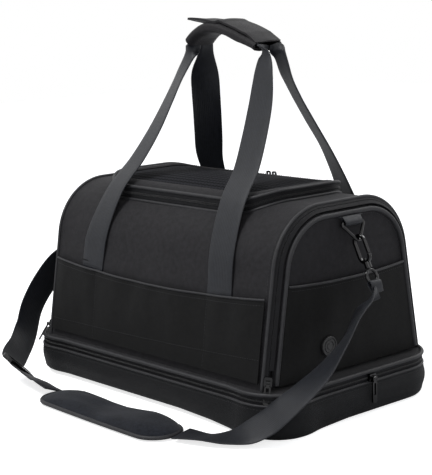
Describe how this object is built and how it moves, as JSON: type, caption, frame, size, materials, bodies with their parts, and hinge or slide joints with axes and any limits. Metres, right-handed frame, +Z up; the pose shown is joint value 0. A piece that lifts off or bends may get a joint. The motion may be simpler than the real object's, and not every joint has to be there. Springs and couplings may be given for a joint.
{
  "type": "pet carrier bag",
  "caption": "Soft pet carrier bag with a zipped expanding base, zip doors at both ends, a mesh top flap, joined carry loops and a padded shoulder strap.",
  "frame": {"origin": "middle of the underside of the tray", "axes": "+X along the bag, -Y to the front with the long pocket, +Z up"},
  "size_m": [0.524, 0.3738, 0.4401],
  "materials": {
    "shell_cloth": "woven polyester, foam backed",
    "tray_cloth": "woven polyester over a stiffener",
    "pocket_cloth": "woven polyester, single",
    "piping": "corded edge binding",
    "zip_tape": "coil zip on woven tape",
    "lining": "thin woven lining",
    "mat_fleece": "short fleece",
    "board": "stiff sheet",
    "mesh": "perforated air mesh",
    "webbing": "flat woven webbing",
    "grip_cloth": "padded woven wrap",
    "pad_knit": "padded knit with a bound edge",
    "hardware": "gloss black over zinc alloy",
    "badge_rubber": "plain moulded disc"
  },
  "bodies": {
    "base": {"tray_floor": "tray_cloth", "tray_wall": "tray_cloth", "base_board": "board", "sleeping_mat": "mat_fleece", "base_gusset": "lining", "base_zip_lower": "zip_tape"},
    "base_zip_slider_body": {"base_zip_slider": "hardware"},
    "base_zip_pull_body": {"base_zip_pull": "hardware"},
    "cabin": {"cabin_rim": "shell_cloth", "base_zip_upper": "zip_tape", "front_panel": "shell_cloth", "rear_panel": "shell_cloth", "top_panel": "shell_cloth", "end_frames": "piping", "door_zips_outer": "zip_tape", "front_pocket": "pocket_cloth", "handle_anchors": "webbing", "top_zip_lower": "zip_tape"},
    "top_flap": {"flap_edge": "piping", "flap_band": "shell_cloth", "flap_mesh": "mesh"},
    "carry_handle": {"grip_wrap": "grip_cloth", "grip_webbing": "webbing", "grip_flap": "grip_cloth", "front_carry_straps": "webbing", "rear_carry_straps": "webbing"},
    "strap_pad": {"shoulder_pad": "pad_knit", "strap_adjuster": "hardware", "right_strap": "webbing", "left_strap": "webbing"},
    "right_door": {"right_door_panel": "shell_cloth", "right_door_piping": "piping", "right_door_pocket": "pocket_cloth", "right_zip_inner": "zip_tape", "right_ring_tab": "webbing", "right_badge": "badge_rubber"},
    "right_zip_slider_body": {"right_zip_slider": "hardware"},
    "right_zip_pull_body": {"right_zip_pull": "hardware"},
    "right_ring": {"right_strap_ring": "hardware"},
    "right_hook": {"right_snap_hook": "hardware"},
    "right_gate": {"right_hook_gate": "hardware"},
    "right_swivel": {"right_swivel_eye": "hardware", "right_strap_loop": "webbing"},
    "left_door": {"left_door_panel": "shell_cloth", "left_door_piping": "piping", "left_door_pocket": "pocket_cloth", "left_zip_inner": "zip_tape", "left_ring_tab": "webbing"},
    "left_zip_slider_body": {"left_zip_slider": "hardware"},
    "left_zip_pull_body": {"left_zip_pull": "hardware"},
    "left_ring": {"left_strap_ring": "hardware"},
    "left_hook": {"left_snap_hook": "hardware"},
    "left_gate": {"left_hook_gate": "hardware"},
    "left_swivel": {"left_swivel_eye": "hardware", "left_strap_loop": "webbing"},
    "top_right_slider_body": {"top_right_slider": "hardware"},
    "top_right_pull_body": {"top_right_pull": "hardware"},
    "top_left_slider_body": {"top_left_slider": "hardware"},
    "top_left_pull_body": {"top_left_pull": "hardware"}
  },
  "joints": [
    {"name": "base_expand", "type": "slide", "parent": "base", "child": "cabin", "axis": [0, 0, 1], "range_m": [0, 0.05], "deforming": ["base_gusset", "right_strap", "left_strap"]},
    {"name": "base_zip_run", "type": "slide", "parent": "base", "child": "base_zip_slider_body", "axis": [0, 1, 0], "range_m": [-0.065, 0.06]},
    {"name": "base_pull_swing", "type": "hinge", "parent": "base_zip_slider_body", "child": "base_zip_pull_body", "pos_m": [0.2307, 0.013, 0.0414], "axis": [0, -1, 0], "range_deg": [0, 120]},
    {"name": "strap_lift", "type": "slide", "parent": "base", "child": "strap_pad", "axis": [0, 0, 1], "range_m": [0, 0.4], "deforming": ["right_strap", "left_strap"]},
    {"name": "top_flap_hinge", "type": "hinge", "parent": "cabin", "child": "top_flap", "pos_m": [0, -0.078, 0.23504], "axis": [1, 0, 0], "range_deg": [0, 45]},
    {"name": "handle_drop", "type": "slide", "parent": "cabin", "child": "carry_handle", "axis": [0, 0, 1], "range_m": [-0.115, 0], "deforming": ["front_carry_straps", "rear_carry_straps"]},
    {"name": "right_door_hinge", "type": "hinge", "parent": "cabin", "child": "right_door", "pos_m": [0.203, 0, 0.052], "axis": [0, 1, 0], "range_deg": [0, 75], "deforming": ["right_strap"]},
    {"name": "right_zip_run", "type": "slide", "parent": "cabin", "child": "right_zip_slider_body", "axis": [0, 0.1633, 0.9866], "range_m": [0, 0.1]},
    {"name": "right_pull_swing", "type": "hinge", "parent": "right_zip_slider_body", "child": "right_zip_pull_body", "pos_m": [0.20353, -0.12711, 0.06066], "axis": [-0.7071, -0.6976, 0.1155], "range_deg": [0, 100]},
    {"name": "right_ring_swing", "type": "hinge", "parent": "right_door", "child": "right_ring", "pos_m": [0.2076, 0.005, 0.2185], "axis": [0, -1, 0], "range_deg": [0, 60], "deforming": ["right_strap"]},
    {"name": "right_hook_swing", "type": "hinge", "parent": "right_ring", "child": "right_hook", "pos_m": [0.21681, 0.005, 0.19962], "axis": [0, -1, 0], "range_deg": [0, 40], "deforming": ["right_strap"]},
    {"name": "right_gate_press", "type": "hinge", "parent": "right_hook", "child": "right_gate", "pos_m": [0.23061, 0.005, 0.18844], "axis": [0, 1, 0], "range_deg": [0, 24], "stiffness_Nm_per_rad": 0.05, "springref_deg": -20.05},
    {"name": "right_swivel_turn", "type": "hinge", "parent": "right_hook", "child": "right_swivel", "pos_m": [0.23158, 0.005, 0.16934], "axis": [0.4384, 0, -0.8988], "range_deg": [-60, 60], "deforming": ["right_strap"]},
    {"name": "left_door_hinge", "type": "hinge", "parent": "cabin", "child": "left_door", "pos_m": [-0.203, 0, 0.052], "axis": [0, -1, 0], "range_deg": [0, 75], "deforming": ["left_strap"]},
    {"name": "left_zip_run", "type": "slide", "parent": "cabin", "child": "left_zip_slider_body", "axis": [0, 0.1633, 0.9866], "range_m": [0, 0.1]},
    {"name": "left_pull_swing", "type": "hinge", "parent": "left_zip_slider_body", "child": "left_zip_pull_body", "pos_m": [-0.20353, -0.12711, 0.06066], "axis": [-0.7071, 0.6976, -0.1155], "range_deg": [0, 90]},
    {"name": "left_ring_swing", "type": "hinge", "parent": "left_door", "child": "left_ring", "pos_m": [-0.2076, 0.005, 0.2185], "axis": [0, 1, 0], "range_deg": [0, 60], "deforming": ["left_strap"]},
    {"name": "left_hook_swing", "type": "hinge", "parent": "left_ring", "child": "left_hook", "pos_m": [-0.21681, 0.005, 0.19962], "axis": [0, 1, 0], "range_deg": [0, 40], "deforming": ["left_strap"]},
    {"name": "left_gate_press", "type": "hinge", "parent": "left_hook", "child": "left_gate", "pos_m": [-0.23061, 0.005, 0.18844], "axis": [0, -1, 0], "range_deg": [0, 24], "stiffness_Nm_per_rad": 0.05, "springref_deg": -20.05},
    {"name": "left_swivel_turn", "type": "hinge", "parent": "left_hook", "child": "left_swivel", "pos_m": [-0.23158, 0.005, 0.16934], "axis": [-0.4384, 0, -0.8988], "range_deg": [-60, 60], "deforming": ["left_strap"]},
    {"name": "top_right_zip_run", "type": "slide", "parent": "top_flap", "child": "top_right_slider_body", "axis": [1, 0, 0], "range_m": [0, 0.08]},
    {"name": "top_right_pull_swing", "type": "hinge", "parent": "top_right_slider_body", "child": "top_right_pull_body", "pos_m": [0.0051, 0.0837, 0.23951], "axis": [-1, 0, 0], "range_deg": [0, 180]},
    {"name": "top_left_zip_run", "type": "slide", "parent": "top_flap", "child": "top_left_slider_body", "axis": [-1, 0, 0], "range_m": [0, 0.08]},
    {"name": "top_left_pull_swing", "type": "hinge", "parent": "top_left_slider_body", "child": "top_left_pull_body", "pos_m": [-0.0051, 0.0837, 0.23951], "axis": [-1, 0, 0], "range_deg": [0, 180]}
  ]
}
